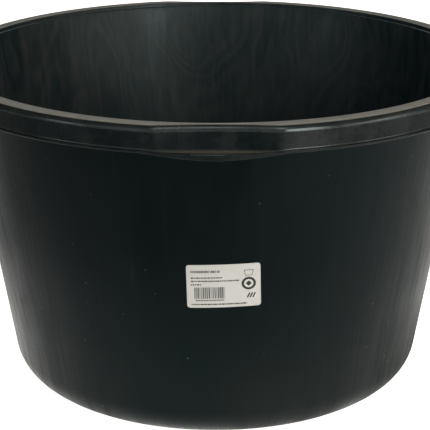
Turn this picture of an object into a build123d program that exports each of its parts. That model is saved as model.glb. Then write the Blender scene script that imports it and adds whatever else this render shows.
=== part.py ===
"""Round mortar mixing tub, about 40 litres, with two moulded grips and a stuck-on label.

The tub stands on Z = 0 with its axis on Z, and the label and one grip face -Y. Dimensions in mm.

The real tub is one injection moulding with one label. The moulding is held here as its natural
regions, which meet face to face: floor, base corner, wall, flat rim top, rim skirt and grip lips.
"""
from build123d import *
import os
from math import atan, cos, degrees, radians, sin

# ---- driving dimensions ---------------------------------------------------------------------
HEIGHT = 300.0                 # foot to rim top
RIM_R = 250.0                  # outer radius of the rim, at the shoulder
WALL_FOOT_R = 184.8            # outer wall cone, carried down to Z = 0
WALL_TAPER = 0.166             # growth of the wall's radius per mm of height
WALL_T = 2.6
FLOOR_T = 3.5
BASE_CORNER_R = 36.4           # outer radius between wall and floor
THICK_BASE_Z = 56.4            # the floor's thickness has thinned to the wall's by this height
FOOT_IN_R = 128.0              # the floor inside this radius is lifted off the ground
FOOT_LIFT = 1.5
FOOT_DRAFT = 1.0               # how much wider the lifted panel is at the ground

MOUTH_R = 234.4                # inner edge of the flat rim top
LEDGE_DROP = 3.4               # step inside the mouth, below the rim top
RIM_T = 3.2                    # thickness of the flat rim top
NECK_R = 236.3                 # outer radius of the thick neck where wall and rim meet
NECK_DROP = 7.0                # lower end of that neck, below the rim top
NECK_RAMP = 3.0                # height over which the wall widens into the neck
SHOULDER_R = 5.3               # rounding between rim top and skirt
MOUTH_EDGE_R = 1.2

SKIRT_T = 3.0
SKIRT_FOOT_Z = 278.2
SKIRT_DRAFT = 1.3              # how far the skirt flares between shoulder and bead
BEAD_R = 253.0                 # bead round the lower edge of the skirt
BEAD_H = 2.6
BEAD_FOOT_IN, BEAD_FOOT_UP = 0.4, 0.6   # softened lower edge of the bead
BEAD_TOP_FALL = 0.8            # the bead's top falls outwards by this much
SKIRT_ARCS = 8                 # the skirt is held as this many arcs, so that its channel stays open

GRIP_DEPTH = 8.3               # how far the rim is pressed in at the middle of a grip
GRIP_SCALLOP_R = 390.0         # plan radius of the pressed-in face
GRIP_DRAFT = 2.3               # draft of that face over the height of the skirt
GRIP_HALF_WIDTH = 58.0
GRIP_LEDGE_Z = 279.8           # top of the ledge at the foot of the pressed-in face
GRIP_LIP_T = 2.5               # thickness of that ledge, and of the apron that hangs from its outer edge
GRIP_APRON_MID_Z = 273.5       # lower edge of the apron at its middle
GRIP_APRON_SIDE = (35.0, 275.6)     # and at this distance to each side, before it runs into the bead
GRIP_LIP_ROUND = 0.6           # rounding of the ledge's outer edge

LABEL_W, LABEL_H, LABEL_T = 61.3, 40.6, 0.2
LABEL_CORNER_R = 2.5
LABEL_Z = 153.7                # height of the label's middle
LABEL_AZIMUTH = 1.85           # degrees round from -Y towards +X
LABEL_TURN = 1.65              # degrees, anticlockwise as seen from outside

SHOULDER_Z = HEIGHT - SHOULDER_R
BEAD_Z = SKIRT_FOOT_Z + BEAD_H
CUT_MARGIN = 20.0              # cutters run this far past what they cut
CHANNEL_MARGIN = 1.0           # and the channel's cutter this far below the skirt


def wall_r(z, inset=0.0):
    """Radius of the outer wall cone at height z, moved in by inset."""
    return WALL_FOOT_R + WALL_TAPER * z - inset


def corner_arc(thickness):
    """Base corner arc, moved in by thickness: its floor end, its middle and its wall end."""
    lean = atan(WALL_TAPER)
    centre_z = BASE_CORNER_R
    centre_r = wall_r(centre_z) - BASE_CORNER_R / cos(lean)
    arc_r = BASE_CORNER_R - thickness
    angles = (radians(-90), (radians(-90) - lean) / 2, -lean)
    return [(centre_r + arc_r * cos(a), centre_z + arc_r * sin(a)) for a in angles]


def floor():
    """Floor disc up to the base corner: a flat foot ring round a panel lifted off the ground."""
    foot_r = corner_arc(0)[0][0]
    disc = Pos(0, 0, FLOOR_T / 2) * Cylinder(foot_r, FLOOR_T)
    lift = Pos(0, 0, FOOT_LIFT / 2) * Cone(FOOT_IN_R + FOOT_DRAFT, FOOT_IN_R, FOOT_LIFT)
    return disc - lift


def base_corner():
    """Rounded corner between floor and wall, thinning from the floor's thickness to the wall's."""
    out_foot, out_mid, out_top = corner_arc(0)
    in_foot, in_mid, in_top = corner_arc(FLOOR_T)
    with BuildSketch(Plane.XZ) as section:
        with BuildLine():
            Line(in_foot, out_foot)
            ThreePointArc(out_foot, out_mid, out_top)
            Polyline(out_top,
                     (wall_r(THICK_BASE_Z), THICK_BASE_Z),
                     (wall_r(THICK_BASE_Z, WALL_T), THICK_BASE_Z),
                     in_top)
            ThreePointArc(in_top, in_mid, in_foot)
        make_face()
    return revolve(section.sketch, axis=Axis.Z)


def wall():
    """Tapered wall, and the thick neck with the ledge inside the mouth."""
    ledge_z = HEIGHT - LEDGE_DROP
    neck_z = HEIGHT - NECK_DROP
    rim_under_z = HEIGHT - RIM_T
    outline = Polyline((wall_r(THICK_BASE_Z), THICK_BASE_Z),
                       (wall_r(neck_z - NECK_RAMP), neck_z - NECK_RAMP),
                       (NECK_R, neck_z),
                       (NECK_R, rim_under_z),
                       (MOUTH_R, rim_under_z),
                       (MOUTH_R, ledge_z),
                       (wall_r(ledge_z, WALL_T), ledge_z),
                       (wall_r(THICK_BASE_Z, WALL_T), THICK_BASE_Z),
                       close=True)
    return revolve(Plane.XZ * make_face(outline), axis=Axis.Z)


def rim_envelope():
    """Solid of revolution inside the rim's outer faces: top, shoulder, skirt and bead."""
    arc_mid = (RIM_R - SHOULDER_R + SHOULDER_R * sin(radians(45)),
               SHOULDER_Z + SHOULDER_R * cos(radians(45)))
    with BuildSketch(Plane.XZ) as section:
        with BuildLine():
            Polyline((0, HEIGHT), (0, SKIRT_FOOT_Z), (BEAD_R - BEAD_FOOT_IN, SKIRT_FOOT_Z),
                     (BEAD_R, SKIRT_FOOT_Z + BEAD_FOOT_UP), (BEAD_R, BEAD_Z - BEAD_TOP_FALL),
                     (RIM_R + SKIRT_DRAFT, BEAD_Z), (RIM_R, SHOULDER_Z))
            ThreePointArc((RIM_R, SHOULDER_Z), arc_mid, (RIM_R - SHOULDER_R, HEIGHT))
            Line((RIM_R - SHOULDER_R, HEIGHT), (0, HEIGHT))
        make_face()
    return revolve(section.sketch, axis=Axis.Z)


def channel_envelope():
    """Solid of revolution inside the skirt's inner face, up to the underside of the rim top."""
    under_z = HEIGHT - RIM_T
    r_top = RIM_R - SKIRT_T
    r_foot = RIM_R + SKIRT_DRAFT - SKIRT_T
    inner_round = SHOULDER_R - SKIRT_T
    arc_mid = (r_top - inner_round * (1 - sin(radians(45))), under_z - inner_round * (1 - cos(radians(45))))
    with BuildSketch(Plane.XZ) as section:
        with BuildLine():
            Polyline((r_top - inner_round, under_z), (0, under_z), (0, SKIRT_FOOT_Z - CHANNEL_MARGIN),
                     (r_foot, SKIRT_FOOT_Z - CHANNEL_MARGIN), (r_foot, BEAD_Z),
                     (r_top, under_z - inner_round))
            ThreePointArc((r_top, under_z - inner_round), arc_mid, (r_top - inner_round, under_z))
        make_face()
    return revolve(section.sketch, axis=Axis.Z)


def scallop(inset, top_round):
    """What a grip presses out of the rim: a drum outside the tub, with a flared top edge."""
    drum_y = -(RIM_R - GRIP_DEPTH - inset) - GRIP_SCALLOP_R
    top_z = HEIGHT - inset * RIM_T / SKIRT_T
    flare_z = top_z - top_round
    foot_z = SKIRT_FOOT_Z - CUT_MARGIN
    foot_r = GRIP_SCALLOP_R - GRIP_DRAFT * (flare_z - foot_z) / (SHOULDER_Z - SKIRT_FOOT_Z)
    side = GRIP_SCALLOP_R + top_round
    arc_mid = (side - top_round * sin(radians(45)), top_z - top_round + top_round * cos(radians(45)))
    over_z = HEIGHT + CUT_MARGIN
    with BuildSketch(Plane.XZ) as section:
        with BuildLine():
            Polyline((0, over_z), (0, foot_z), (foot_r, foot_z), (GRIP_SCALLOP_R, flare_z))
            ThreePointArc((GRIP_SCALLOP_R, flare_z), arc_mid, (side, top_z))
            Polyline((side, top_z), (side, over_z), (0, over_z))
        make_face()
    return Pos(0, drum_y, 0) * revolve(section.sketch, axis=Axis.Z)


def at_both_grips(solid):
    """A front (-Y) solid together with its copy at the back."""
    return [solid, Rot(0, 0, 180) * solid]


def rim():
    """The whole rim: envelope pressed in at the grips, less the channel and the mouth."""
    outside = rim_envelope()
    channel = channel_envelope()
    for cutter in at_both_grips(scallop(0.0, SHOULDER_R)):
        outside -= cutter
    for cutter in at_both_grips(scallop(SKIRT_T, SHOULDER_R - SKIRT_T)):
        channel -= cutter
    mouth = Pos(0, 0, HEIGHT) * Cylinder(MOUTH_R, 4 * CUT_MARGIN)
    return outside - channel - mouth


def rim_halves():
    """The rim split at the foot of the shoulder: flat top with shoulder, and skirt."""
    whole = rim()
    above = Pos(0, 0, SHOULDER_Z + CUT_MARGIN) * Box(3 * RIM_R, 3 * RIM_R, 2 * CUT_MARGIN)
    top = whole & above
    mouth_edge = top.edges().filter_by(GeomType.CIRCLE).filter_by(
        lambda e: abs(e.radius - MOUTH_R) < 0.01 and abs(e.center().Z - HEIGHT) < 0.01)
    top = fillet(mouth_edge, MOUTH_EDGE_R)
    skirt = whole - above
    return top, skirt


def grip_block():
    """Room of the front grip lip: from the skirt's inner face outwards, with an arched lower side."""
    w = GRIP_HALF_WIDTH
    side_x, side_z = GRIP_APRON_SIDE
    with BuildSketch(Plane.XZ) as front:
        with BuildLine():
            Spline((-w, SKIRT_FOOT_Z), (-side_x, side_z), (0, GRIP_APRON_MID_Z), (side_x, side_z),
                   (w, SKIRT_FOOT_Z))
            Polyline((w, SKIRT_FOOT_Z), (w, GRIP_LEDGE_Z), (-w, GRIP_LEDGE_Z), (-w, SKIRT_FOOT_Z))
        make_face()
    return extrude(front.sketch, amount=RIM_R + CUT_MARGIN) & scallop(SKIRT_T, SHOULDER_R - SKIRT_T)


def grip_lip():
    """Front grip lip: a ledge out to the bead's radius, with an arched apron that hangs from its edge."""
    ledge_under = GRIP_LEDGE_Z - GRIP_LIP_T
    outside = Pos(0, 0, HEIGHT / 2) * Cylinder(BEAD_R, HEIGHT)
    hollow = Pos(0, 0, ledge_under / 2) * Cylinder(BEAD_R - GRIP_LIP_T, ledge_under)
    lip = (grip_block() & outside) - hollow
    outer = lip.faces().filter_by(GeomType.CYLINDER).sort_by(Axis.Y)[0]
    return fillet(outer.edges().sort_by(Axis.Z)[-1], GRIP_LIP_ROUND)


def label():
    """Self-adhesive label: a rounded rectangle that lies on the wall cone."""
    lean = atan(WALL_TAPER)
    z_low, z_high = LABEL_Z - LABEL_H, LABEL_Z + LABEL_H
    skin = make_face(Polyline((wall_r(z_low), 0, z_low), (wall_r(z_low) + LABEL_T, 0, z_low),
                              (wall_r(z_high) + LABEL_T, 0, z_high), (wall_r(z_high), 0, z_high),
                              close=True))
    skin = revolve(skin, axis=Axis.Z)
    face_on = Plane(origin=(0, -wall_r(LABEL_Z), LABEL_Z), x_dir=(1, 0, 0),
                    z_dir=(0, -cos(lean), -sin(lean)))
    blank = face_on * Rot(0, 0, LABEL_TURN) * RectangleRounded(LABEL_W, LABEL_H, LABEL_CORNER_R)
    patch = extrude(blank, amount=CUT_MARGIN, both=True) & skin
    return Rot(0, 0, LABEL_AZIMUTH) * patch


def skirt_arcs(skirt):
    """The skirt cut into equal arcs that meet face to face, with room for the grip lips in two of them."""
    half = radians(180 / SKIRT_ARCS)
    far = 2 * RIM_R
    sector = make_face(Polyline((0, 0), (-far * sin(half), -far * cos(half)),
                                (far * sin(half), -far * cos(half)), close=True))
    wedge = extrude(sector, amount=2 * HEIGHT)
    arcs = [skirt & Rot(0, 0, 360 * i / SKIRT_ARCS) * wedge for i in range(SKIRT_ARCS)]
    front, rear = at_both_grips(grip_block())
    arcs[0] -= front
    arcs[SKIRT_ARCS // 2] -= rear
    return Compound([arc.solid() for arc in arcs])


def build():
    """Every node of the tub, by name."""
    top, skirt = rim_halves()
    front_lip, rear_lip = at_both_grips(grip_lip())
    return {
        "tub_floor": floor(),
        "base_corner": base_corner(),
        "tub_wall": wall(),
        "rim_top": top,
        "rim_skirt": skirt_arcs(skirt),
        "front_grip": front_lip,
        "rear_grip": rear_lip,
        "label": label(),
    }


os.makedirs("parts", exist_ok=True)
for name, solid in build().items():
    print(name, round(solid.volume, 1), "mm3")
    export_step(solid, f"parts/{name}.step")
print("wall leans", round(degrees(atan(WALL_TAPER)), 2), "degrees")
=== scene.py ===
# %% [markdown]
# # A mortar mixing tub
# A round mortar tub is one big injection moulding of dark recycled polyethylene: a floor, a leaning wall,
# and a flat rim whose edge turns down into a skirt. Front and back, the rim is pressed in and has a lip
# below, for the hands. The only other piece is a paper label. This lesson turns the tub on one outline,
# presses the grips in, sticks the label on and then spends most of its effort on the plastic.

# %% Load the frame
import math
import random

import bpy
import numpy as np
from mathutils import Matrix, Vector


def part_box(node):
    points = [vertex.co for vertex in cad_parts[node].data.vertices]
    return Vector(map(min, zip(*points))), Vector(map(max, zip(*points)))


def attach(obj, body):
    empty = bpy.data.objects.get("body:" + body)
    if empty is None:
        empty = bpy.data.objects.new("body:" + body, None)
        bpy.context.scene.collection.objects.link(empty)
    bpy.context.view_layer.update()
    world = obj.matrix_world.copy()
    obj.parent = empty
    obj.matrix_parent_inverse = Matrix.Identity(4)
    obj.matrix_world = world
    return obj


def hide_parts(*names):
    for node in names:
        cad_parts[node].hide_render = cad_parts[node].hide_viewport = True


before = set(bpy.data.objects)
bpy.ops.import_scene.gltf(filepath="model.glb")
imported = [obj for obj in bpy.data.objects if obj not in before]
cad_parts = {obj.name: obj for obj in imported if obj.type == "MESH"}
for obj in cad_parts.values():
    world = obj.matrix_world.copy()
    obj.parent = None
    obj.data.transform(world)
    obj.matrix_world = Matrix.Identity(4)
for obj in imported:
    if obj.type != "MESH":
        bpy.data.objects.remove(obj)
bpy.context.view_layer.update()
bpy.ops.object.select_all(action="DESELECT")

# %% [markdown]
# ## Camera
# A catalogue shows a tub from in front and a little above, through a long lens, so that the tub fills the
# frame and its mouth is a wide oval. The camera could track an empty at the tub's middle, but a place and
# one angle of tilt are simpler and say the same.

# %% Camera
LOOK_DOWN = 18.64                                 # degrees below level
camera_data = bpy.data.cameras.new("camera")
camera_data.sensor_width = 36.0
camera_data.lens = 141.7
camera = bpy.data.objects.new("camera", camera_data)
bpy.context.scene.collection.objects.link(camera)
camera.location = (-0.0004, -1.5102, 0.6541)
camera.rotation_euler = (math.pi / 2 - math.radians(LOOK_DOWN), 0.0, 0.0)
bpy.context.scene.camera = camera
print("camera stands", round(-camera.location.y, 2), "m in front, and looks down", LOOK_DOWN, "degrees")

# %% [markdown]
# ## Shorthand for nodes
# Every material below is built from shader nodes in code. Four small helpers keep that readable: one links
# two sockets, one adds a node with its settings, one turns a range of values into another range, and one
# does sums. They are used for the floor and the sky first, and later for the plastic.

# %% Four node helpers
def link(tree, out, into):
    tree.links.new(out, into)
    return out


def add_node(tree, kind, **values):
    """A new node, with its properties or its inputs set by name."""
    node = tree.nodes.new(kind)
    for name, value in values.items():
        if hasattr(node, name) and name not in node.inputs:
            setattr(node, name, value)
        else:
            node.inputs[name.replace("_", " ")].default_value = value
    return node


def ramp(tree, value, low, high, to_low=0.0, to_high=1.0):
    """A soft step from to_low to to_high, as value goes from low to high."""
    node = add_node(tree, "ShaderNodeMapRange", interpolation_type="SMOOTHSTEP")
    for name, number in (("From Min", low), ("From Max", high), ("To Min", to_low), ("To Max", to_high)):
        node.inputs[name].default_value = number
    link(tree, value, node.inputs["Value"])
    return node.outputs["Result"]


def maths(tree, operation, a, b=None, clamp=False):
    node = add_node(tree, "ShaderNodeMath", operation=operation, use_clamp=clamp)
    for socket, value in zip(node.inputs, (a, b)):
        if value is None:
            continue
        if isinstance(value, (int, float)):
            socket.default_value = value
        else:
            link(tree, value, socket)
    return node.outputs[0]


print("node helpers: link, add_node, ramp, maths")

# %% [markdown]
# ## Floor
# Black plastic shows little colour of its own. What makes its shape readable is what it mirrors, so the
# pale floor does the work of a studio's white cards. It glows behind the tub, beside it and round its foot,
# which gives the wall pale edges, and it is dim in front, which keeps the middle of the wall deep and dark.
# Separate glowing cards would do the same, but they would stand in the way of other views. Looked at
# directly, the floor is one plain white.

# %% Floor
FLOOR_SIZE = 60.0
FLOOR_WHITE, FLOOR_WARMTH = (0.90, 0.90, 0.89, 1.0), (1.0, 0.985, 0.945, 1.0)
GLOW_FOOT, GLOW_BACK, GLOW_LEFT, GLOW_RIGHT, GLOW_FRONT = 1.02, 0.85, 0.18, 0.68, 0.03
GLOW_SEEN = 1.0                                   # what the floor shows when it is looked at directly


def floor_glow(tree):
    """Dim in front, brighter beside the tub, brightest behind it and round its foot, with soft edges."""
    place = add_node(tree, "ShaderNodeTexCoord").outputs["Object"]
    parts = add_node(tree, "ShaderNodeSeparateXYZ")
    link(tree, place, parts.inputs[0])
    away = add_node(tree, "ShaderNodeVectorMath", operation="LENGTH")
    link(tree, place, away.inputs[0])
    beside = maths(tree, "MAXIMUM", ramp(tree, parts.outputs["X"], -0.20, -0.38, 0.0, GLOW_LEFT),
                   ramp(tree, parts.outputs["X"], 0.10, 0.34, 0.0, GLOW_RIGHT))
    behind = ramp(tree, parts.outputs["Y"], 0.0, 0.60, 0.0, GLOW_BACK)
    foot = ramp(tree, away.outputs["Value"], 0.50, 0.28, 0.0, GLOW_FOOT)
    glow = maths(tree, "MAXIMUM", maths(tree, "MAXIMUM", beside, behind), foot)
    glow = maths(tree, "ADD", glow, GLOW_FRONT)
    seen = add_node(tree, "ShaderNodeLightPath").outputs["Is Camera Ray"]
    return maths(tree, "MAXIMUM", glow, maths(tree, "MULTIPLY", seen, GLOW_SEEN))


def make_floor():
    bpy.ops.mesh.primitive_plane_add(size=FLOOR_SIZE, location=(0.0, 0.0, 0.0))
    floor = bpy.context.object
    floor.name = "studio_floor"
    matter = bpy.data.materials.new("pale_floor")
    matter.use_nodes = True
    tree = matter.node_tree
    shader = tree.nodes["Principled BSDF"]
    shader.inputs["Base Color"].default_value = FLOOR_WHITE
    shader.inputs["Roughness"].default_value = 0.9
    shader.inputs["Specular IOR Level"].default_value = 0.1
    shader.inputs["Emission Color"].default_value = FLOOR_WARMTH
    link(tree, floor_glow(tree), shader.inputs["Emission Strength"])
    floor.data.materials.append(matter)


make_floor()
print("studio_floor:", FLOOR_SIZE, "m square")

# %% [markdown]
# ## Sky
# The sky stands for the studio's walls. It is nearly dark, so that it doesn't wash the black plastic out,
# and a little paler towards the front, where the open side of the studio is. Its brightness depends only on
# the direction, never on the camera.

# %% Sky
SKY_DIM, SKY_FRONT = 0.03, 0.30


def make_sky():
    world = bpy.data.worlds.new("studio_walls")
    bpy.context.scene.world = world
    world.use_nodes = True
    tree = world.node_tree
    back = tree.nodes["Background"]
    parts = add_node(tree, "ShaderNodeSeparateXYZ")
    link(tree, add_node(tree, "ShaderNodeTexCoord").outputs["Generated"], parts.inputs[0])
    front = ramp(tree, maths(tree, "MULTIPLY", parts.outputs["Y"], -1.0), 0.3, 0.9, SKY_DIM, SKY_FRONT)
    link(tree, front, back.inputs["Strength"])
    back.inputs["Color"].default_value = (0.84, 0.97, 1.0, 1.0)


make_sky()
print("sky: strength", SKY_DIM, "to", SKY_FRONT)

# %% [markdown]
# ## Lamps
# Seven soft area lamps stand round the tub, about two metres away. The widest is behind and lights the rim
# from above. The others stand mostly to the right, so the shine on the tub's shoulder and skirt is stronger
# on that side. Area lamps are used because their mirrored shapes have soft ends: a point lamp would leave
# hard dots on the rim.

# %% Lamps
LAMP_AIM = Vector((0.0, 0.0, 0.2))
LAMPS = {  # name: (azimuth from the front towards +X, elevation, distance in m, size in m, watts, colour)
    "lamp_behind": (180, 40, 2.2, (2.2, 1.0), 15.0, (1.0, 0.985, 0.95)),
    "lamp_key": (33, 15, 1.95, (0.5, 0.9), 11.4, (1.0, 0.975, 0.93)),
    "lamp_high": (15, 50, 2.0, (0.8, 0.8), 5.6, (1.0, 0.99, 0.96)),
    "lamp_right": (72, 18, 2.0, (0.7, 0.9), 2.0, (1.0, 0.94, 0.86)),
    "lamp_low": (62, 12, 1.8, (0.5, 0.3), 2.6, (1.0, 0.95, 0.88)),
    "lamp_left_low": (-58, 12, 1.8, (0.3, 0.3), 1.4, (0.96, 0.99, 1.0)),
    "lamp_left": (-35, 20, 2.0, (0.6, 0.9), 0.8, (0.97, 0.99, 1.0)),
}


def soft_lamp(name, azimuth, elevation, distance, size, watts, colour):
    """A soft lamp placed by its direction from the tub, in degrees, and turned to face it."""
    data = bpy.data.lights.new(name, "AREA")
    data.shape = "RECTANGLE"
    data.size, data.size_y = size
    data.energy = watts
    data.color = colour
    lamp = bpy.data.objects.new(name, data)
    a, e = math.radians(azimuth), math.radians(elevation)
    towards = Vector((math.sin(a) * math.cos(e), -math.cos(a) * math.cos(e), math.sin(e)))
    lamp.location = LAMP_AIM + distance * towards
    lamp.rotation_euler = (LAMP_AIM - lamp.location).to_track_quat("-Z", "Y").to_euler()
    bpy.context.scene.collection.objects.link(lamp)


for name, settings in LAMPS.items():
    soft_lamp(name, *settings)
bpy.context.scene.view_settings.view_transform = "Standard"
print("lamps:", ", ".join(LAMPS))

# %% [markdown]
# ## The tub's outline
# On the real mould the tub is turned steel, so it has one outline: half of a slice through the wall. It
# is listed here in millimetres, once round: up the outside of the wall, along the channel under the rim,
# down and round the skirt, over the shoulder and the flat rim top, down the inside, across the floor and
# back under the foot. Round stretches are worked out as arcs. Each point keeps the name of its zone,
# because the grips later press some zones in and leave the others alone.

# %% Driving sizes, read from the frame where it has them
MM = 0.001
rim_high = np.array(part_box("rim_top")[1]) / MM
skirt_low, skirt_high = (np.array(c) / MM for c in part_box("rim_skirt"))
floor_high = np.array(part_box("tub_floor")[1]) / MM
grip_low, grip_high = (np.array(c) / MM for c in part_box("front_grip"))

HEIGHT = float(rim_high[2])                       # 300
RIM_R = float(rim_high[0])                        # 250, outside of the rim at its shoulder
BEAD_R = float(skirt_high[0])                     # 253, bead at the skirt's foot
SKIRT_FOOT = float(skirt_low[2])                  # 278.2
FLOOR_T = float(floor_high[2])                    # 3.5
GRIP_HALF_WIDTH = float(grip_high[0])             # 58
APRON_MID = float(grip_low[2])                    # 273.5, lower edge of the grip's apron
LEDGE_Z = float(grip_high[2])                     # 279.8, ledge at the foot of the pressed-in face

# wall: its radius carried down to the ground, how much it widens per mm of height, and its thickness
WALL_FOOT_R, WALL_TAPER, WALL_T = 184.8, 0.166, 2.6
CORNER_R = 36.4                                   # round corner between floor and wall, outside
MOUTH_R, MOUTH_ROUND = 234.4, 1.2                 # inner edge of the flat rim
LEDGE_DROP = 3.4                                  # from the rim top to the ledge inside the mouth
NECK_DROP, NECK_R = 7.0, 236.3                    # thicker neck of the wall, under the rim
RIM_T, SHOULDER_R = 3.2, 5.3
SKIRT_T, SKIRT_DRAFT = 3.0, 1.3                   # the skirt leans outwards by its draft
BEAD_H, BEAD_ROUND = 2.6, 0.8
SHOULDER_Z = HEIGHT - SHOULDER_R
LEAN = math.atan(WALL_TAPER)


def wall_r(z, inset=0.0):
    return WALL_FOOT_R + WALL_TAPER * z - inset


def arc(centre, radius, start, stop, steps):
    """Points on an arc, angles in degrees from +R towards +Z, ends included."""
    angles = np.radians(np.linspace(start, stop, steps + 1))
    return [(centre[0] + radius * math.cos(a), centre[1] + radius * math.sin(a)) for a in angles]


print("rim", 2 * RIM_R, "mm across,", HEIGHT, "mm high, wall leans", round(math.degrees(LEAN), 1), "degrees")

# %% The outline, point by point
outline = []


def run(zone, points, share=None):
    """Adds points to the outline; share says how far each lies across its zone, for the grip lip."""
    for i, (r, z) in enumerate(points):
        outline.append((r, z, zone, share[i] if share else 0.0))


def steps_between(start, stop, count):
    """The points after start up to stop, evenly spaced."""
    return [(start[0] + (stop[0] - start[0]) * i / count, start[1] + (stop[1] - start[1]) * i / count)
            for i in range(1, count + 1)]


corner_centre = (wall_r(CORNER_R) - CORNER_R / math.cos(LEAN), CORNER_R)
lean_deg = math.degrees(LEAN)
neck_foot = HEIGHT - NECK_DROP
under = HEIGHT - RIM_T
bead_top = SKIRT_FOOT + BEAD_H
skirt_foot_r = RIM_R + SKIRT_DRAFT

LIFT, FOOT_IN_R = 1.5, 128.0                      # the floor inside the foot ring is lifted off the ground
GATE_R, GATE_Z = 5.0, 0.7                         # stub where the plastic was let into the mould

run("underside", [(0.0, GATE_Z), (GATE_R - 1.6, GATE_Z), (GATE_R - 1.2, GATE_Z + 0.2),
                  (GATE_R - 1.0, LIFT), (GATE_R, LIFT)])
run("underside", steps_between((GATE_R, LIFT), (FOOT_IN_R, LIFT), 8))
run("underside", [(FOOT_IN_R + 0.9, 0.12), (FOOT_IN_R + 1.3, 0.0)])
outer_corner = arc(corner_centre, CORNER_R, -90, -lean_deg, 14)
run("wall", steps_between((FOOT_IN_R + 1.3, 0.0), outer_corner[0], 3))
run("wall", outer_corner[1:])
run("wall", steps_between(outer_corner[-1], (wall_r(neck_foot - 3.0), neck_foot - 3.0), 16))
run("neck", [(NECK_R - 0.9, neck_foot - 0.6), (NECK_R, neck_foot + 0.4), (NECK_R, under - 0.6),
             (NECK_R + 0.4, under)])
run("under_top", steps_between((NECK_R + 0.4, under), (RIM_R - SHOULDER_R, under), 3))
inner_round = SHOULDER_R - SKIRT_T
run("inner_round", arc((RIM_R - SHOULDER_R, under - inner_round), inner_round, 90, 0, 3)[1:])
run("skirt_in", steps_between((RIM_R - SKIRT_T, under - inner_round), (skirt_foot_r - SKIRT_T, bead_top), 3))
foot_in, foot_out = skirt_foot_r - SKIRT_T, BEAD_R - BEAD_ROUND
lip_steps = (0.4, 1.0, 1.6, 2.0, 2.15, 2.5)       # one point for each corner of the apron's section
run("lip_under", [(foot_in, SKIRT_FOOT + 0.4)] + [(foot_in + step, SKIRT_FOOT) for step in lip_steps]
    + [(foot_out, SKIRT_FOOT)])
run("lip_edge", arc((foot_out, SKIRT_FOOT + BEAD_ROUND), BEAD_ROUND, -90, 0, 4)[1:])
run("lip_edge", [(BEAD_R, SKIRT_FOOT + BEAD_ROUND + 0.25), (BEAD_R, bead_top - BEAD_ROUND - 0.25)])
run("lip_edge", arc((foot_out, bead_top - BEAD_ROUND), BEAD_ROUND, 0, 90, 4))
# its faces take the pale rim finish: a painted highlight line along the ledge
run("lip_top", steps_between((foot_out, bead_top), (skirt_foot_r + 0.4, bead_top), 4), [0.75, 0.5, 0.25, 0.0])
# its faces take the edge finish: a painted highlight line in the notch
run("skirt_foot", [(skirt_foot_r + 0.18, bead_top + 0.15), (skirt_foot_r + 0.04, bead_top + 0.45),
                   (skirt_foot_r, bead_top + 0.9)])
run("skirt_out", steps_between((skirt_foot_r, bead_top + 0.9), (RIM_R, SHOULDER_Z), 5))
shoulder = arc((RIM_R - SHOULDER_R, SHOULDER_Z), SHOULDER_R, 0, 90, 10)
# the shoulder takes the edge finish, whose paler colour is a painted sheen
run("shoulder", shoulder[1:8])
run("brow", shoulder[8:])                         # its upper part, painted as pale as the flat rim: a painted sheen of the light from above
mouth_flat = MOUTH_R + MOUTH_ROUND
run("top_flat", steps_between((RIM_R - SHOULDER_R, HEIGHT), (mouth_flat, HEIGHT), 4))
run("mouth", arc((mouth_flat, HEIGHT - MOUTH_ROUND), MOUTH_ROUND, 90, 180, 4)[1:])
ledge = HEIGHT - LEDGE_DROP
ledge_r = wall_r(ledge, WALL_T)
run("mouth", [(MOUTH_R, ledge + 0.5), (MOUTH_R - 0.15, ledge + 0.12), (MOUTH_R - 0.5, ledge),
              (ledge_r + 0.6, ledge), (ledge_r + 0.18, ledge - 0.12), (ledge_r - 0.05, ledge - 0.6)])
wall_ends_z = 56.4                                # the corner's inner round takes over below this
run("inside", steps_between((ledge_r - 0.05, ledge - 0.6), (wall_r(wall_ends_z, WALL_T), wall_ends_z), 14))
run("inside", arc(corner_centre, CORNER_R - FLOOR_T, -lean_deg, -90, 14))
run("inside", steps_between((corner_centre[0], FLOOR_T), (0.0, FLOOR_T), 10))
print(len(outline), "points on the outline")
print("zones, in order:", ", ".join(dict.fromkeys(p[2] for p in outline)))

# %% [markdown]
# ## Turning the moulding
# The tub could be a cylinder scaled and inset many times, but a turned outline keeps every radius right.
# It starts as one vertex, which is extruded from point to point along the outline, and the finished line
# is spun once round the Z axis. The seam is merged and the normals are recalculated, because a spin can
# leave the shell inside out.

# %% Extrude the outline, spin it round
SPIN_STEPS = 576
WELD = 0.01 * MM                                  # points closer than this are merged


def only(obj):
    """Selects obj alone and makes it active."""
    bpy.ops.object.select_all(action="DESELECT")
    obj.select_set(True)
    bpy.context.view_layer.objects.active = obj


def draw_line(name, points):
    """One vertex extruded from point to point, in the XZ plane, sizes in mm."""
    bpy.ops.object.select_all(action="DESELECT")
    bpy.ops.mesh.primitive_plane_add(size=MM, location=(0.0, 0.0, 0.0))
    line = bpy.context.object
    line.name = line.data.name = name
    bpy.ops.object.mode_set(mode="EDIT")
    bpy.ops.mesh.select_all(action="SELECT")
    bpy.ops.mesh.merge(type="CENTER")
    at = Vector((points[0][0] * MM, 0.0, points[0][1] * MM))
    bpy.ops.transform.translate(value=at)
    for r, z in points[1:]:
        to = Vector((r * MM, 0.0, z * MM))
        bpy.ops.mesh.extrude_region_move(TRANSFORM_OT_translate={"value": to - at})
        at = to
    return line


def spin_round(line):
    """Spins the selected line round Z into a closed shell, facing outwards."""
    bpy.ops.mesh.select_all(action="SELECT")
    bpy.ops.mesh.spin(steps=SPIN_STEPS, angle=2 * math.pi, center=(0.0, 0.0, 0.0), axis=(0.0, 0.0, 1.0))
    bpy.ops.mesh.select_all(action="SELECT")
    bpy.ops.mesh.remove_doubles(threshold=WELD)
    bpy.ops.mesh.normals_make_consistent(inside=False)
    bpy.ops.object.mode_set(mode="OBJECT")


tub = draw_line("tub_moulding", [(r, z) for r, z, _, _ in outline])
spin_round(tub)
print("tub_moulding:", len(tub.data.vertices), "vertices,", len(tub.data.polygons), "faces")

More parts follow.
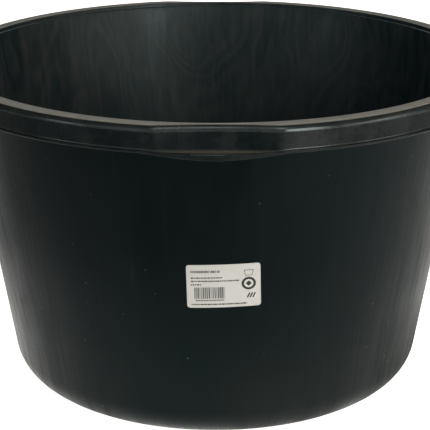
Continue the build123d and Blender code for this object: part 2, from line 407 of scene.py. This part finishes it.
# %% [markdown]
# ## Pressing in the grips
# Front and back, the mould has a block that presses the skirt in along a shallow drum, 390 mm in radius.
# That leaves a ledge at the foot of the pressed-in face, and from the ledge's edge hangs an apron, arched
# along its lower side, for the fingers to pull on. Boolean cuts would leave long thin faces in the
# shading, so the vertices are moved instead: each zone of the outline knows how it follows the drum.

# %% Drum, apron and their blends
GRIP_DEPTH, SCALLOP_R, GRIP_DRAFT = 8.3, 390.0, 2.3
LIP_T = 2.5
APRON_INSET = 0.4                                 # the apron's face lies this far inside the bead's
APRON_CURVE = 1.6                                 # power of the curve of its lower edge
DRUM_Y = RIM_R - GRIP_DEPTH + SCALLOP_R           # the drum's axis
DRUM_REACH = 0.5                                  # radians; past this angle the drum is on the other side
CORNER_BLEND = 1.6                                # how softly the pressed face meets the round skirt
LEDGE_FLAT = 44.0                                 # half of the stretch where the ledge keeps its full drop


def soft_min(a, b, blend):
    """The smaller of a and b, rounded over where they cross."""
    share_a = np.clip(0.5 + 0.5 * (b - a) / blend, 0.0, 1.0)
    return b + (a - b) * share_a - blend * share_a * (1 - share_a)


def drum_r(angle, z):
    """How far out the drum's face lies at an angle from the grip's middle; very far where it misses."""
    radius = SCALLOP_R - GRIP_DRAFT * np.clip(SHOULDER_Z - z, 0.0, None) / (SHOULDER_Z - SKIRT_FOOT)
    inside = (DRUM_Y * np.cos(angle)) ** 2 - DRUM_Y ** 2 + radius ** 2
    near = DRUM_Y * np.cos(angle) - np.sqrt(np.clip(inside, 0.0, None))
    return np.where((inside > 0) & (np.abs(angle) < DRUM_REACH), near, 2 * RIM_R)


def pressed(r, angle, z):
    return soft_min(r, drum_r(angle, z), CORNER_BLEND)


def apron_low(angle):
    """Height of the apron's lower edge: lowest at the middle of the grip, at the bead's foot at its ends."""
    x = np.abs(BEAD_R * np.sin(angle)) / GRIP_HALF_WIDTH
    return APRON_MID + (SKIRT_FOOT - APRON_MID) * np.clip(x, 0.0, 1.0) ** APRON_CURVE


def smooth(low, high, value):
    t = np.clip((value - low) / (high - low), 0.0, 1.0)
    return t * t * (3 - 2 * t)


print("apron hangs", round(LEDGE_Z - APRON_MID, 1), "mm below the ledge")

# %% Find each vertex's point on the outline
co = np.zeros(len(tub.data.vertices) * 3)
tub.data.vertices.foreach_get("co", co)
co = co.reshape(-1, 3) / MM
drawn = np.array([(r, z) for r, z, _, _ in outline])
zone_of = np.array([zone for _, _, zone, _ in outline])
share_of = np.array([share for _, _, _, share in outline])

flat_r = np.hypot(co[:, 0], co[:, 1])
gap = (flat_r[:, None] - drawn[None, :, 0]) ** 2 + (co[:, 2, None] - drawn[None, :, 1]) ** 2
point = gap.argmin(axis=1)
zone, share = zone_of[point], share_of[point]
rear = np.where(co[:, 1] > 0, 1.0, -1.0)
angle = np.arctan2(co[:, 0], np.abs(co[:, 1]))
r, z = flat_r.copy(), co[:, 2].copy()
print("vertices found on", len(set(point.tolist())), "points of the outline")

# %% Move the vertices
in_grip = 1.0 - smooth(LEDGE_FLAT, GRIP_HALF_WIDTH + 1.0, np.abs(RIM_R * np.sin(angle)))
sunk = RIM_R - pressed(RIM_R, angle, SHOULDER_Z)
face_r = pressed(skirt_foot_r, angle, bead_top)
edge_r = BEAD_R - APRON_INSET * in_grip
ledge_z = bead_top - (bead_top - LEDGE_Z) * in_grip
low_z = apron_low(angle)
ledge_under = np.maximum(ledge_z - LIP_T, low_z)

flat_out = RIM_R - SHOULDER_R
new_r, new_z = r.copy(), z.copy()


def place(zones, to_r=None, to_z=None):
    mine = np.isin(zone, zones)
    if to_r is not None:
        new_r[mine] = to_r[mine]
    if to_z is not None:
        new_z[mine] = to_z[mine]


foot_share = np.clip((SHOULDER_Z - z) / (SHOULDER_Z - bead_top), 0.0, 1.0)
place(["shoulder", "brow"], r - sunk)
narrowed = (flat_out - sunk - mouth_flat) / (flat_out - mouth_flat)
place(["top_flat"], mouth_flat + (r - mouth_flat) * narrowed)
under_in = NECK_R + 0.4
narrowed = (flat_out - sunk - under_in) / (flat_out - under_in)
under_r = np.where(zone == "under_top", under_in + (r - under_in) * narrowed, r - sunk)
# where the grip leaves no room under the rim, neighbouring points stay a hair apart
place(["under_top", "inner_round"], np.maximum(under_r, under_in + 0.02 * point))
place(["skirt_in"], pressed(r + SKIRT_T, angle, z) - SKIRT_T, z + (ledge_under - SKIRT_FOOT) * foot_share)
place(["skirt_out", "skirt_foot"], pressed(r, angle, z), z + (ledge_z - bead_top) * foot_share)

# the lip's section: under the ledge, down the apron's inner side, round its foot, up its face, over the ledge
inner_r = face_r - SKIRT_T
apron_in = np.maximum(edge_r - LIP_T, inner_r + 1.8)
under = [i for i, name in enumerate(zone_of) if name == "lip_under"]
section = [(inner_r, ledge_under + 0.4), (inner_r + 0.4, ledge_under),
           ((inner_r + apron_in) / 2, ledge_under), (apron_in - 0.4, ledge_under),
           (apron_in, np.maximum(ledge_under - 0.4, low_z)),
           (apron_in + 0.15, np.minimum(low_z + 0.5, ledge_under)),
           (apron_in + 0.5, low_z), (edge_r - BEAD_ROUND, low_z)]
for i, (to_r, to_z) in zip(under, section):
    mine = point == i
    new_r[mine], new_z[mine] = to_r[mine], to_z[mine]
lower_half = z < (SKIRT_FOOT + bead_top) / 2
place(["lip_edge"], edge_r + (r - BEAD_R),
      np.where(lower_half, low_z + z - SKIRT_FOOT, ledge_z + z - bead_top))
place(["lip_top"], face_r + 0.4 + share * (edge_r - BEAD_ROUND - face_r - 0.4), ledge_z)

co[:, 0] = new_r * np.sin(angle)
co[:, 1] = rear * new_r * np.cos(angle)
co[:, 2] = new_z
tub.data.vertices.foreach_set("co", (co * MM).ravel())
tub.data.update()
lip_foot = float(new_z[zone == "lip_edge"].min())
print("pressed in", round(float(sunk.max()), 2), "mm; lip down to z", round(lip_foot, 1))

# %% [markdown]
# ## The short raised bar on the front lip
# The front apron carries a short raised line, a little left of the middle: a rib left by the mould. It is
# a cube stretched to size, cut into short lengths, bent round with the apron and bevelled. It is sunk into
# the apron so that only its face stands out, and then joined to the moulding: it is the same plastic. The
# shading is smooth but for real edges, which shade_smooth_by_angle finds by the angle between faces.

# %% Raised bar
BAR_X, BAR_LENGTH, BAR_HEIGHT = -6.1, 26.4, 1.0
BAR_STANDS, BAR_ROOT = 0.38, 0.8                  # how far it stands out, and how deep it is sunk in
SHARP_FROM = math.radians(32)                     # edges with a larger angle stay sharp in the shading


def raised_bar():
    bar_z = LEDGE_Z - 1.0
    bpy.ops.object.select_all(action="DESELECT")
    bpy.ops.mesh.primitive_cube_add(size=MM, location=(BAR_X * MM, 0.0, bar_z * MM))
    bar = bpy.context.object
    bar.scale = (BAR_LENGTH, BAR_STANDS + BAR_ROOT, BAR_HEIGHT)
    bpy.ops.object.transform_apply(location=True, scale=True)
    bpy.ops.object.mode_set(mode="EDIT")
    for x in np.linspace(BAR_X - BAR_LENGTH / 2, BAR_X + BAR_LENGTH / 2, 8)[1:-1]:
        bpy.ops.mesh.select_all(action="SELECT")
        bpy.ops.mesh.bisect(plane_co=(x * MM, 0.0, 0.0), plane_no=(1.0, 0.0, 0.0))
    bpy.ops.object.mode_set(mode="OBJECT")
    middle_r = BEAD_R - APRON_INSET + (BAR_STANDS - BAR_ROOT) / 2
    for vertex in bar.data.vertices:
        x, y, z = vertex.co / MM
        vertex.co.y = -MM * (math.sqrt(middle_r ** 2 - x ** 2) - y)
    soften = bar.modifiers.new("soften", "BEVEL")
    soften.width, soften.segments, soften.angle_limit = 0.28 * MM, 3, math.radians(60)
    bpy.ops.object.modifier_apply(modifier=soften.name)
    return bar


bar = raised_bar()
bar.select_set(True)
tub.select_set(True)
bpy.context.view_layer.objects.active = tub
bpy.ops.object.join()
only(tub)
bpy.ops.object.shade_smooth_by_angle(angle=SHARP_FROM)
print("tub_moulding with its bar:", len(tub.data.polygons), "faces")

# %% [markdown]
# ## The label
# The label is die-cut paper with rounded corners, stuck on the wall a little crooked. Paper bends one way
# only, so it is drawn flat, cut into narrow upright strips, and wrapped onto the cone. The same wrapping
# carries the print, so the two always agree. A Shrinkwrap modifier would stretch the paper a little.

# %% Wrap a flat drawing onto the wall
label_low, label_high = (np.array(c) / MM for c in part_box("label"))
LABEL_W, LABEL_H, LABEL_CORNER = 61.3, 40.6, 2.5
LABEL_Z = float(label_low[2] + label_high[2]) / 2
LABEL_AZIMUTH, LABEL_TURN = math.radians(1.85), math.radians(1.65)
GLUE_T, PAPER_T, INK_T = 0.02, 0.14, 0.02
INK_GAP = 0.02                                    # keeps the ink's faces clear of the paper's
STRIP = 1.5                                       # width of the upright strips


def wrap(obj, stand_off):
    """Moves a drawing from the XY plane, in metres, onto the wall, stand_off mm above the plastic."""
    n = len(obj.data.vertices)
    flat = np.zeros(n * 3)
    obj.data.vertices.foreach_get("co", flat)
    u, v, w = flat.reshape(-1, 3).T / MM
    across = u * math.cos(LABEL_TURN) - v * math.sin(LABEL_TURN)
    up = u * math.sin(LABEL_TURN) + v * math.cos(LABEL_TURN)
    out = stand_off + w
    mid_z = LABEL_Z + up * math.cos(LEAN)
    radius = wall_r(mid_z) + out / math.cos(LEAN)
    turn = LABEL_AZIMUTH + across / radius
    wrapped = np.stack([radius * np.sin(turn), -radius * np.cos(turn), mid_z], axis=1)
    obj.data.vertices.foreach_set("co", (wrapped * MM).ravel())
    obj.data.update()


def thicken(obj, thickness):
    """Gives a flat drawing its thickness, upwards from the XY plane."""
    only(obj)
    shell = obj.modifiers.new("thickness", "SOLIDIFY")
    shell.thickness, shell.offset = thickness * MM, 1.0
    bpy.ops.object.modifier_apply(modifier=shell.name)


def cut_strips(obj, left, right):
    """Cuts a flat drawing into upright strips between left and right, so that it can bend round the wall."""
    only(obj)
    bpy.ops.object.mode_set(mode="EDIT")
    for x in np.arange(left + STRIP, right - 0.2 * STRIP, STRIP):
        bpy.ops.mesh.select_all(action="SELECT")
        bpy.ops.mesh.bisect(plane_co=(x * MM, 0.0, 0.0), plane_no=(1.0, 0.0, 0.0))
    bpy.ops.object.mode_set(mode="OBJECT")


def keep_uv(obj, width, height):
    """A UV map laid while the drawing is still flat: the piece's own millimetres, 0 to 1."""
    uv = obj.data.uv_layers.new(name="UVMap") if not obj.data.uv_layers else obj.data.uv_layers[0]
    for loop in obj.data.loops:
        x, y, _ = obj.data.vertices[loop.vertex_index].co
        uv.data[loop.index].uv = (x / MM / width + 0.5, y / MM / height + 0.5)


def label_stock():
    bpy.ops.object.select_all(action="DESELECT")
    bpy.ops.mesh.primitive_plane_add(size=MM, location=(0.0, 0.0, 0.0))
    label = bpy.context.object
    label.name = label.data.name = "label_stock"
    label.scale = (LABEL_W, LABEL_H, 1.0)
    bpy.ops.object.transform_apply(scale=True)
    bpy.ops.object.mode_set(mode="EDIT")
    bpy.ops.mesh.select_all(action="SELECT")
    bpy.ops.mesh.bevel(offset=LABEL_CORNER * MM, segments=8, affect="VERTICES")
    bpy.ops.object.mode_set(mode="OBJECT")
    cut_strips(label, -LABEL_W / 2, LABEL_W / 2)
    keep_uv(label, LABEL_W, LABEL_H)
    thicken(label, PAPER_T)
    wrap(label, GLUE_T)
    return label


label = label_stock()
print("label_stock:", LABEL_W, "x", LABEL_H, "mm,", len(label.data.polygons), "faces")

# %% [markdown]
# ## The print
# A label on a tub carries a few lines of small text, a bar code and some signs. Here it has no words: rows
# of dashes stand for the lines, a random pattern of bars for the code, and plain shapes for the signs. The
# print is real geometry, a layer of ink on the paper, because a pattern of nodes would need its place
# worked out by hand for every mark. The random numbers have a seed, so each run prints the same label.

# %% Marks of ink
prints = random.Random(41)


def ink(parts, shape, **values):
    """Adds one flat printed shape to the open list of parts, sizes in mm."""
    bpy.ops.object.select_all(action="DESELECT")
    if shape == "block":
        bpy.ops.mesh.primitive_plane_add(size=MM, location=(values["x"] * MM, values["y"] * MM, 0.0))
        piece = bpy.context.object
        piece.scale = (values["w"], values["h"], 1.0)
        piece.rotation_euler = (0.0, 0.0, values.get("turn", 0.0))
        bpy.ops.object.transform_apply(location=True, rotation=True, scale=True)
        if values["w"] > 3.0:
            cut_strips(piece, values["x"] - values["w"] / 2, values["x"] + values["w"] / 2)
    else:
        bpy.ops.mesh.primitive_circle_add(vertices=values.get("sides", 48), radius=values["r"] * MM,
                                          fill_type="NGON",
                                          location=(values["x"] * MM, values["y"] * MM, 0.0),
                                          rotation=(0.0, 0.0, values.get("turn", 0.0)))
        piece = bpy.context.object
        bpy.ops.object.transform_apply(location=True, rotation=True, scale=True)
        if values.get("hole"):
            bpy.ops.object.mode_set(mode="EDIT")
            bpy.ops.mesh.select_all(action="SELECT")
            bpy.ops.mesh.inset(thickness=(values["r"] - values["hole"]) * MM)
            bpy.ops.mesh.delete(type="FACE")
            bpy.ops.object.mode_set(mode="OBJECT")
    parts.append(piece)


def dashes(parts, x, y, width, h, shortest=0.8, longest=2.6):
    """A row of dashes that stands for a line of small text."""
    end = x + width
    while x < end:
        w = min(prints.uniform(shortest, longest), end - x)
        if w > 0.3:
            ink(parts, "block", x=x + w / 2, y=y, w=w, h=h)
        x += w + prints.uniform(0.35, 0.7)


def bars(parts, x, y, width, h):
    """An upright pattern of bars, a plain stand-in for a bar code."""
    end = x + width
    while x < end - 0.3:
        w = prints.choice((0.25, 0.25, 0.5, 0.75))
        ink(parts, "block", x=x + w / 2, y=y, w=w, h=h)
        x += w + prints.choice((0.25, 0.3, 0.5, 0.6))


print("marks of ink: block, ring, dashes, bars")


# %% The whole print
def label_print():
    parts = []
    dashes(parts, -27.0, 13.8, 24.5, 2.2, 0.5, 1.3)
    dashes(parts, -27.0, 8.0, 26.0, 1.2)
    dashes(parts, -27.0, 4.9, 40.0, 1.2)
    dashes(parts, -27.0, 1.6, 8.5, 1.2)
    bars(parts, -24.4, -6.3, 25.5, 10.8)
    dashes(parts, -23.4, -13.4, 23.5, 1.5, 0.7, 0.9)
    dashes(parts, -27.0, -17.2, 46.0, 1.3)
    # right-hand column: a tub in outline, a plain ring, and three slanting bars
    tub_lines = ((20.8, 14.2, 8.4, 0.5, 0.0), (17.6, 11.6, 5.0, 0.45, -1.35),
                 (24.0, 11.6, 5.0, 0.45, 1.35), (20.8, 9.2, 5.6, 0.5, 0.0))
    for x, y, w, h, turn in tub_lines:
        ink(parts, "block", x=x, y=y, w=w, h=h, turn=turn)
    ink(parts, "ring", x=20.7, y=1.6, r=6.0, hole=3.9)
    ink(parts, "ring", x=20.7, y=1.6, r=2.6, sides=4)
    for i in range(3):
        ink(parts, "block", x=20.4 + 2.3 * i, y=-9.8, w=1.2, h=5.0, turn=-0.45)
    bpy.ops.object.select_all(action="DESELECT")
    for piece in parts:
        piece.select_set(True)
    bpy.context.view_layer.objects.active = parts[0]
    bpy.ops.object.join()
    printed = bpy.context.object
    printed.name = printed.data.name = "label_print"
    bpy.ops.object.transform_apply(location=True, rotation=True, scale=True)
    return printed, len(parts)


ink_piece, ink_shapes = label_print()
thicken(ink_piece, INK_T)
wrap(ink_piece, GLUE_T + PAPER_T + INK_GAP)
print("label_print:", ink_shapes, "printed shapes")

# %% [markdown]
# ## Tools for the finishes
# The finishes need a few more shorthands: a new material, a noise, a mix of two colours, and a bump that can
# lie over another bump. A pattern that should run round the tub gets its own space: the direction from the
# axis, which closes on itself without a seam, and the height. Scaled more round than up, it gives upright
# streaks, as the melt leaves them.

# %% Tools for the finishes
def new_material(name):
    matter = bpy.data.materials.new(name)
    matter.use_nodes = True
    return matter, matter.node_tree, matter.node_tree.nodes["Principled BSDF"]


def noise(tree, vector, scale, detail=2.0, roughness=0.5, distortion=0.0):
    node = add_node(tree, "ShaderNodeTexNoise", Scale=scale, Detail=detail, Roughness=roughness,
                    Distortion=distortion)
    link(tree, vector, node.inputs["Vector"])
    return node.outputs["Fac"]


def mix_colour(tree, share, a, b):
    node = add_node(tree, "ShaderNodeMix", data_type="RGBA")
    for socket, value in ((node.inputs[0], share), (node.inputs[6], a), (node.inputs[7], b)):
        if isinstance(value, (tuple, list)):
            socket.default_value = (*value, 1.0)
        elif isinstance(value, float):
            socket.default_value = value
        else:
            link(tree, value, socket)
    return node.outputs[2]


def bump(tree, height, distance, strength=1.0, over=None):
    node = add_node(tree, "ShaderNodeBump", Strength=strength, Distance=distance)
    link(tree, height, node.inputs["Height"])
    if over is not None:
        link(tree, over, node.inputs["Normal"])
    return node.outputs["Normal"]


def round_the_tub(tree, across, along):
    """A pattern space that wraps round the tub without a seam: across and along are cycles per metre."""
    where = add_node(tree, "ShaderNodeTexCoord").outputs["Object"]
    level = add_node(tree, "ShaderNodeVectorMath", operation="MULTIPLY")
    level.inputs[1].default_value = (1.0, 1.0, 0.0)
    link(tree, where, level.inputs[0])
    rim = add_node(tree, "ShaderNodeVectorMath", operation="NORMALIZE")
    link(tree, level.outputs[0], rim.inputs[0])
    out = add_node(tree, "ShaderNodeVectorMath", operation="SCALE", Scale=0.22 * across)
    link(tree, rim.outputs[0], out.inputs[0])
    height = add_node(tree, "ShaderNodeVectorMath", operation="MULTIPLY")
    height.inputs[1].default_value = (0.0, 0.0, along)
    link(tree, where, height.inputs[0])
    both = add_node(tree, "ShaderNodeVectorMath", operation="ADD")
    link(tree, out.outputs[0], both.inputs[0])
    link(tree, height.outputs[0], both.inputs[1])
    return both.outputs[0]


print("tools: new_material, noise, mix_colour, bump, round_the_tub")

# %% [markdown]
# ## The plastic
# The moulding is recycled polyethylene: nearly black with a green-grey cast, and a satin, slightly waxy
# skin. It isn't one colour. The melt leaves upright flow marks, the wall is never quite even, handling
# leaves fine scratches and pale specks, and dust sits low down, where the wall is also painted paler as a
# painted reflection of the glowing floor. One recipe makes every plastic finish, and each turns its marks
# up or down. The outside wall is the darkest. The inside is painted greyer, as painted light falling into
# the tub, with wavy lines like wood grain. The flat rim is rubbed pale and painted paler still, a painted
# sheen of the light from above; the shoulder's edge is polished smooth by hands and stacking, and its paler
# colour is a painted sheen; and the skirt is mottled.

# %% Colours and marks of the plastic
DEEP = (0.0005, 0.0026, 0.0031)
PALE = (0.0038, 0.0050, 0.0047)
TINT = (0.72, 0.98, 1.0)                          # cast of the plastic's own gleam, seen straight on
# settled dust, and also a painted reflection of the glowing floor low on the wall
DUST_AND_FLOOR_REFLECTION = (0.055, 0.052, 0.044)
CHALK = (0.16, 0.155, 0.135)                      # scratched plastic and dried specks of mortar


def specks(tree, place):
    """Sparse pale specks, a millimetre or two across."""
    cells = add_node(tree, "ShaderNodeTexVoronoi", Scale=58.0)
    link(tree, place, cells.inputs["Vector"])
    return ramp(tree, cells.outputs["Distance"], 0.060, 0.030)


def swirls(tree):
    """Wavy lines like wood grain, where the melt folded: the contours of a slow upright noise."""
    eddy = noise(tree, round_the_tub(tree, 17.0, 7.0), 1.0, 1.5, 0.45, 0.5)
    return ramp(tree, maths(tree, "SINE", maths(tree, "MULTIPLY", eddy, 75.0)), -0.6, 1.0)


print("marks: specks, swirls")


# %% Plastic recipe
def plastic(name, gloss, rough, flow, scuff, dust_and_floor_reflection=0.0, mottle=0.0, swirl=0.0, hairs=1.0,
            deep=DEEP, pale=PALE, tint=TINT):
    """gloss: specular level; rough: middle roughness; the others: strength of each kind of mark, 0 to 1."""
    matter, tree, shader = new_material(name)
    shader.inputs["Specular IOR Level"].default_value = gloss
    shader.inputs["Specular Tint"].default_value = (*tint, 1.0)
    shader.inputs["IOR"].default_value = 1.5
    place = add_node(tree, "ShaderNodeTexCoord").outputs["Object"]
    parts = add_node(tree, "ShaderNodeSeparateXYZ")
    link(tree, place, parts.inputs[0])

    marks = noise(tree, round_the_tub(tree, 34.0, 5.0), 1.0, 3.0, 0.6, 0.9)
    veins = noise(tree, round_the_tub(tree, 125.0, 20.0), 1.0, 3.0, 0.6, 1.3)
    hair = noise(tree, round_the_tub(tree, 260.0, 16.0), 1.0, 2.0, 0.55, 0.3)
    cloud = noise(tree, place, 7.0, 3.0, 0.55)
    spots = noise(tree, place, 46.0, 3.0, 0.6)
    grit = noise(tree, place, 2600.0, 1.0, 0.5)

    # colour: upright flow marks, then clouds, settled dust with a painted reflection of the floor low down,
    # and chalky specks and scratches
    tone = maths(tree, "ADD", ramp(tree, marks, 0.40, 0.68, 0.0, 0.50 * flow),
                 ramp(tree, veins, 0.42, 0.72, 0.0, 0.45 * flow))
    tone = maths(tree, "ADD", tone, ramp(tree, cloud, 0.35, 0.75, 0.0, 0.40))
    tone = maths(tree, "ADD", tone, ramp(tree, spots, 0.38, 0.68, 0.0, 0.60 * mottle))
    if swirl:
        tone = maths(tree, "ADD", tone, maths(tree, "MULTIPLY", swirls(tree), 0.28 * swirl))
    colour = mix_colour(tree, maths(tree, "MINIMUM", tone, 1.0), deep, pale)
    # paler towards the bottom: settled dust and a painted reflection of the glowing floor
    low = ramp(tree, parts.outputs["Z"], 0.11, 0.0)
    dust_and_reflection_share = maths(tree, "MULTIPLY", maths(tree, "MULTIPLY", low, ramp(tree, cloud, 0.3, 0.7)), dust_and_floor_reflection * 0.16)
    colour = mix_colour(tree, dust_and_reflection_share, colour, DUST_AND_FLOOR_REFLECTION)
    chalky = maths(tree, "ADD", maths(tree, "MULTIPLY", specks(tree, place), 0.5 * scuff),
                   ramp(tree, hair, 0.70, 0.80, 0.0, 0.05 * scuff * hairs), clamp=True)
    colour = mix_colour(tree, chalky, colour, CHALK)
    link(tree, colour, shader.inputs["Base Color"])

    # roughness: every mark is a little duller or shinier than the skin round it
    wear = maths(tree, "ADD", ramp(tree, marks, 0.35, 0.70, -0.05, 0.06),
                 ramp(tree, cloud, 0.3, 0.75, -0.05, 0.07))
    wear = maths(tree, "ADD", wear, ramp(tree, hair, 0.45, 0.8, -0.02, 0.06 + 0.06 * scuff * hairs))
    wear = maths(tree, "ADD", wear, ramp(tree, spots, 0.35, 0.70, -0.07 * mottle, 0.09 * mottle))
    wear = maths(tree, "ADD", wear, maths(tree, "MULTIPLY", dust_and_reflection_share, 1.5))
    link(tree, maths(tree, "ADD", wear, rough, clamp=True), shader.inputs["Roughness"])

    # bump: the wall's slow waves first, then finer and finer marks over them
    skin = bump(tree, noise(tree, round_the_tub(tree, 9.0, 5.0), 1.0, 2.0, 0.5), 0.0022)
    skin = bump(tree, marks, 0.0004 * flow + 0.0001 * hairs, over=skin)
    skin = bump(tree, veins, 0.00016 * flow, over=skin)
    skin = bump(tree, spots, 0.00005 + 0.00016 * mottle, over=skin)
    skin = bump(tree, hair, (0.00006 + 0.00008 * scuff) * hairs, over=skin)
    skin = bump(tree, grit, 0.00004, over=skin)
    link(tree, skin, shader.inputs["Normal"])
    return matter


print("recipe: plastic")

# %% Five finishes from one recipe
finishes = {
    "wall": plastic("plastic_wall", 0.10, 0.36, flow=0.30, scuff=0.6, dust_and_floor_reflection=1.0),
    # the inside is painted greyer than the outside: painted light falling into the tub
    "inside": plastic("plastic_inside_painted_light", 0.30, 0.43, flow=0.70, scuff=0.35, swirl=1.0,
                      deep=(0.0068, 0.0160, 0.0178), pale=(0.0370, 0.0400, 0.0380), tint=(0.85, 1.0, 1.0)),
    # rubbed pale, and painted paler still: a painted sheen of the light from above
    "rim": plastic("plastic_rim_top_worn_painted_sheen", 0.45, 0.45, flow=0.2, scuff=0.8, mottle=0.5, hairs=0.3,
                   deep=(0.115, 0.104, 0.079), pale=(0.185, 0.168, 0.129), tint=(1.0, 0.98, 0.93)),
    # smoother skin from handling; its paler colour is a painted sheen along the shoulder and skirt foot
    "edge": plastic("plastic_edge_painted_sheen", 0.50, 0.23, flow=0.0, scuff=0.5, mottle=0.7, hairs=0.0,
                    deep=(0.017, 0.0215, 0.0210), pale=(0.036, 0.038, 0.035), tint=(0.9, 1.0, 1.0)),
    "skirt": plastic("plastic_skirt", 0.19, 0.31, flow=0.0, scuff=0.6, mottle=1.0, hairs=0.1,
                     deep=(0.0008, 0.0040, 0.0048), pale=(0.0125, 0.0155, 0.0148), tint=(1.0, 1.0, 0.98)),
}
print("finishes:", ", ".join(finishes))

# %% [markdown]
# ## Which face gets which finish
# The zones of the outline say it. Each face lies between two neighbouring points of the outline, so its
# zone is that of its later point. Zones that aren't listed, such as the foot and the channel under the rim,
# are like the wall. Painting by hand in edit mode would do as well, but a rule is quicker to change. The bar
# that was joined on has no point on the outline, and takes the edge finish, whose paler colour is a painted
# highlight on it.

# %% Give each face its finish
zone_finish = {"lip_edge": "skirt", "skirt_out": "skirt", "skirt_foot": "edge", "shoulder": "edge",
               "lip_top": "rim", "brow": "rim", "top_flat": "rim", "mouth": "inside", "inside": "inside"}
for matter in finishes.values():
    tub.data.materials.append(matter)
slot_of = {name: i for i, name in enumerate(finishes)}


def finish_faces():
    finish_of = [slot_of[zone_finish.get(zone, "wall")] for _, _, zone, _ in outline]
    turned = len(point)
    for face in tub.data.polygons:
        corners = [point[v] for v in face.vertices if v < turned]
        # faces off the outline, the bar's, get the edge finish: a painted highlight on the bar
        face.material_index = finish_of[max(corners)] if corners else slot_of["edge"]


finish_faces()
face_slots = [face.material_index for face in tub.data.polygons]
print("faces per finish:", {name: face_slots.count(i) for name, i in slot_of.items()})

# %% [markdown]
# ## Paper and ink
# The label is coated paper, a little grey, with a very fine tooth and slight yellowing towards its edges.
# The paper's pattern lies on its own UV map, laid while it was flat, so it follows the sheet. The ink is dull
# black and not fully solid, as from a thermal printer.

# %% Paper and ink finishes
def paper():
    matter, tree, shader = new_material("coated_paper")
    shader.inputs["Specular IOR Level"].default_value = 0.35
    uv = add_node(tree, "ShaderNodeUVMap", uv_map="UVMap").outputs["UV"]
    fibre = noise(tree, uv, 260.0, 3.0, 0.6)
    blotch = noise(tree, uv, 5.0, 3.0, 0.5)
    middle = add_node(tree, "ShaderNodeVectorMath", operation="DISTANCE")
    middle.inputs[1].default_value = (0.5, 0.5, 0.0)
    link(tree, uv, middle.inputs[0])
    edge = ramp(tree, middle.outputs["Value"], 0.38, 0.68, 0.0, 0.5)
    tone = maths(tree, "ADD", edge, ramp(tree, blotch, 0.35, 0.7, 0.0, 0.4), clamp=True)
    colour = mix_colour(tree, tone, (0.650, 0.632, 0.592), (0.590, 0.568, 0.520))
    link(tree, mix_colour(tree, ramp(tree, fibre, 0.4, 0.7, 0.0, 0.12), colour, (0.50, 0.48, 0.43)),
         shader.inputs["Base Color"])
    link(tree, ramp(tree, blotch, 0.3, 0.7, 0.42, 0.55), shader.inputs["Roughness"])
    link(tree, bump(tree, fibre, 0.00002), shader.inputs["Normal"])
    return matter


def printing_ink():
    matter, tree, shader = new_material("thermal_ink")
    shader.inputs["Specular IOR Level"].default_value = 0.3
    place = add_node(tree, "ShaderNodeTexCoord").outputs["Object"]
    patchy = noise(tree, place, 1500.0, 2.0, 0.6)
    link(tree, mix_colour(tree, ramp(tree, patchy, 0.35, 0.7), (0.020, 0.020, 0.021), (0.050, 0.049, 0.048)),
         shader.inputs["Base Color"])
    link(tree, ramp(tree, patchy, 0.3, 0.7, 0.45, 0.65), shader.inputs["Roughness"])
    return matter


label.data.materials.append(paper())
ink_piece.data.materials.append(printing_ink())
print("paper and ink are on")

# %% [markdown]
# ## Hand the pieces to the frame
# The turned moulding stands for all the CAD nodes of the one moulding, and the paper for the label node. The
# print is extra and stands for none. All three ride the one body, because nothing on a tub moves.

# %% Ride and replace
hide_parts("tub_floor", "base_corner", "tub_wall", "rim_top", "rim_skirt", "front_grip", "rear_grip")
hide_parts("label")
for piece in (tub, label, ink_piece):
    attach(piece, "root")
print("riding on root:", ", ".join(piece.name for piece in (tub, label, ink_piece)))
